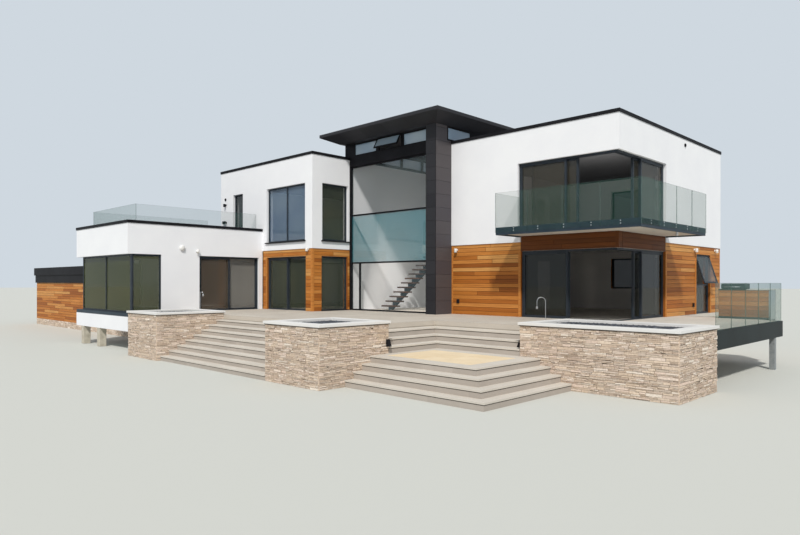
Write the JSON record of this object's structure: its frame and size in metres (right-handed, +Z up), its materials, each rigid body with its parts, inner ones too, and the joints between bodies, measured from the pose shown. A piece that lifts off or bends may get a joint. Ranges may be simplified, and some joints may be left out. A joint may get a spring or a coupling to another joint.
{
  "type": "detached house",
  "caption": "Flat-roofed detached house of rendered and timber-clad blocks with a glazed hall between them, on a raised stepped terrace with a balcony and garage wing.",
  "frame": {"origin": "middle of the bottom of the whole house, on the level of the lawn", "axes": "+X along the garden front towards the balcony end, +Y from the garden into the house, +Z up"},
  "size_m": [38.25, 18.23, 8.66],
  "materials": {
    "concrete": "fair-faced concrete",
    "paving": "pale honed paving",
    "walling_stone": "split-face ledge stone",
    "coping": "smooth white cast stone",
    "slate": "loose slate chippings",
    "render": "fine white silicone render",
    "blue_steel": "blue-grey satin paint",
    "clear_glass": "clear float glass",
    "tinted_glass": "blue-green tinted glass",
    "cedar": "oiled cedar boards",
    "charcoal_frame": "charcoal satin powder coat",
    "membrane": "grey roofing membrane",
    "pier_panel": "charcoal metal panels",
    "roof_metal": "dark standing metal roof",
    "dark_oak": "dark oiled oak",
    "soffit": "pale boarded soffit"
  },
  "bodies": {
    "house": {"foundation_walls": "concrete", "terrace_deck": "paving", "left_steps": "paving", "upper_steps": "paving", "lower_steps": "paving", "planter_walls": "walling_stone", "planter_copings": "coping", "planter_beds": "slate", "wing_posts": "concrete", "wing_floor": "render", "wing_sill": "blue_steel", "wing_walls": "render", "wing_fascia": "render", "roof_terrace_glass": "clear_glass", "left_lower_walls": "render", "block_timber_walls": "cedar", "block_front_wall": "render", "block_upper_walls": "render", "left_frames": "charcoal_frame", "left_glass": "clear_glass", "ground_floor": "paving", "upper_floors": "concrete", "flat_roofs": "membrane", "roof_trims": "charcoal_frame", "entrance_pier": "pier_panel", "entrance_beam": "charcoal_frame", "entrance_frames": "charcoal_frame", "entrance_glass": "clear_glass", "entrance_band": "tinted_glass", "clerestory_frames": "charcoal_frame", "clerestory_glass": "clear_glass", "entrance_roof": "roof_metal", "hall_rear_wall": "render", "stair_treads": "dark_oak", "stair_spine": "blue_steel", "right_lower_front": "cedar", "right_lower_walls": "cedar", "right_hall_wall": "render", "right_upper_front": "render", "right_upper_walls": "render", "right_frames": "charcoal_frame", "right_glass": "clear_glass", "balcony_edge": "blue_steel", "balcony_deck": "soffit", "balcony_glass": "clear_glass", "side_deck": "paving", "side_deck_frame": "blue_steel", "side_deck_glass": "clear_glass", "deck_counter": "cedar", "garage_plinth": "walling_stone", "garage_walls": "cedar", "garage_fascia": "charcoal_frame"},
    "wing_leaf": {"wing_door": "charcoal_frame", "wing_door_glass": "clear_glass"},
    "block_leaf": {"block_door": "charcoal_frame", "block_door_glass": "clear_glass"},
    "kitchen_leaf": {"kitchen_door": "charcoal_frame", "kitchen_door_glass": "clear_glass"}
  },
  "joints": [
    {"name": "wing_door_slide", "type": "slide", "parent": "house", "child": "wing_leaf", "axis": [0, -1, 0], "range_m": [0, 1.33]},
    {"name": "block_door_slide", "type": "slide", "parent": "house", "child": "block_leaf", "axis": [-1, 0, 0], "range_m": [0, 1.31]},
    {"name": "kitchen_door_slide", "type": "slide", "parent": "house", "child": "kitchen_leaf", "axis": [1, 0, 0], "range_m": [0, 1.56]}
  ]
}
